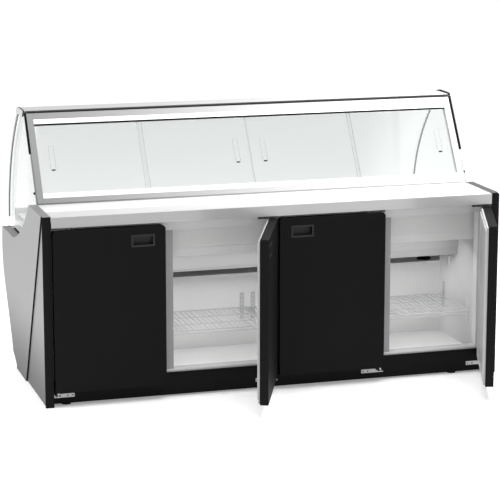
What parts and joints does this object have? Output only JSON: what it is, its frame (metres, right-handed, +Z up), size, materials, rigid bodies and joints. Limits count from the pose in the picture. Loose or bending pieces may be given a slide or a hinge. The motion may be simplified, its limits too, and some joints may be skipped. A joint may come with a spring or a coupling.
{
  "type": "refrigerated deli case",
  "caption": "Curved-glass refrigerated deli display case on a cold store with hinged doors, sliding rear glasses, steel worktop and shaped end panels.",
  "frame": {"origin": "on the floor, under the middle of the whole object as it stands with two doors open", "axes": "+X along the case, to the right as the server sees it; +Y towards the customer; +Z up"},
  "size_m": [2.214, 1.563, 1.291],
  "materials": {
    "silver_panel": "satin",
    "moulded_panel": "satin silver",
    "steel_top": "polished",
    "frame_grey": "satin",
    "mid_grey": "satin",
    "black_paint": "satin",
    "black_plastic": "matte",
    "handle_plastic": "matte",
    "white_liner": "smooth",
    "aluminium": "anodised, satin",
    "galvanised": "galvanised",
    "glass_clear": "clear, faint green",
    "chrome_wire": "bright",
    "bracket_steel": "satin",
    "gasket_grey": "soft",
    "copper": "drawn copper",
    "white_plastic": "gloss"
  },
  "bodies": {
    "cabinet": {"end_panel_left": "moulded_panel", "end_panel_right": "moulded_panel", "rear_trims": "black_plastic", "worktop": "steel_top", "plinths": "black_paint", "front_panel": "silver_panel", "front_rail": "aluminium", "levelling_feet": "black_plastic", "base_frame": "galvanised", "cabinet_floor": "white_liner", "cabinet_back": "white_liner", "chamber_sides": "white_liner", "door_frame": "frame_grey", "mullions": "mid_grey", "display_tub": "white_liner", "display_deck": "steel_top", "evaporators": "aluminium", "evaporator_covers": "white_liner", "drip_trays": "mid_grey", "fan_plates": "mid_grey", "drain_pipe": "black_plastic", "refrigerant_lines": "copper", "temperature_probes": "white_plastic", "front_glass": "glass_clear", "side_glasses": "glass_clear", "canopy": "silver_panel", "canopy_trim": "black_plastic", "frame_uprights": "aluminium", "lower_track": "aluminium", "upper_track": "aluminium", "runners": "white_plastic", "brush_seal": "black_plastic", "led_light": "white_plastic", "wire_shelves": "chrome_wire", "shelf_rails": "chrome_wire", "hinge_brackets_top": "bracket_steel", "hinge_brackets_bottom": "bracket_steel"},
    "fan_left": {"fan_left": "black_plastic"},
    "fan_right": {"fan_right": "black_plastic"},
    "glass_1": {"glass_door_1": "glass_clear"},
    "glass_2": {"glass_door_2": "glass_clear"},
    "glass_3": {"glass_door_3": "glass_clear"},
    "glass_4": {"glass_door_4": "glass_clear"},
    "door_1": {"door_1_shell": "black_paint", "door_1_liner": "white_liner", "door_1_gasket": "gasket_grey", "door_1_handle": "handle_plastic"},
    "door_2": {"door_2_shell": "black_paint", "door_2_liner": "white_liner", "door_2_gasket": "gasket_grey", "door_2_handle": "handle_plastic"},
    "door_3": {"door_3_shell": "black_paint", "door_3_liner": "white_liner", "door_3_gasket": "gasket_grey", "door_3_handle": "handle_plastic"},
    "door_4": {"door_4_shell": "black_paint", "door_4_liner": "white_liner", "door_4_gasket": "gasket_grey", "door_4_handle": "handle_plastic"}
  },
  "joints": [
    {"name": "door_1_hinge", "type": "hinge", "parent": "cabinet", "child": "door_1", "pos_m": [-1.048, -0.30153, 0.447], "axis": [0, 0, -1], "range_deg": [0, 90]},
    {"name": "door_2_hinge", "type": "hinge", "parent": "cabinet", "child": "door_2", "pos_m": [-0.017, -0.30153, 0.447], "axis": [0, 0, 1], "range_deg": [-68, 22]},
    {"name": "door_3_hinge", "type": "hinge", "parent": "cabinet", "child": "door_3", "pos_m": [0.51, -0.30153, 0.447], "axis": [0, 0, 1], "range_deg": [0, 90]},
    {"name": "door_4_hinge", "type": "hinge", "parent": "cabinet", "child": "door_4", "pos_m": [1.048, -0.30153, 0.447], "axis": [0, 0, 1], "range_deg": [-70, 20]},
    {"name": "glass_1_slide", "type": "slide", "parent": "cabinet", "child": "glass_1", "axis": [1, 0, 0], "range_m": [0, 0.5]},
    {"name": "glass_2_slide", "type": "slide", "parent": "cabinet", "child": "glass_2", "axis": [1, 0, 0], "range_m": [-0.49, 0]},
    {"name": "glass_3_slide", "type": "slide", "parent": "cabinet", "child": "glass_3", "axis": [1, 0, 0], "range_m": [0, 0.49]},
    {"name": "glass_4_slide", "type": "slide", "parent": "cabinet", "child": "glass_4", "axis": [1, 0, 0], "range_m": [-0.5, 0]},
    {"name": "fan_left_spin", "type": "hinge", "parent": "cabinet", "child": "fan_left", "pos_m": [-0.906, 0.16046, 0.489], "axis": [0, 0, 1], "continuous": true},
    {"name": "fan_right_spin", "type": "hinge", "parent": "cabinet", "child": "fan_right", "pos_m": [0.906, 0.16046, 0.489], "axis": [0, 0, 1], "continuous": true}
  ]
}
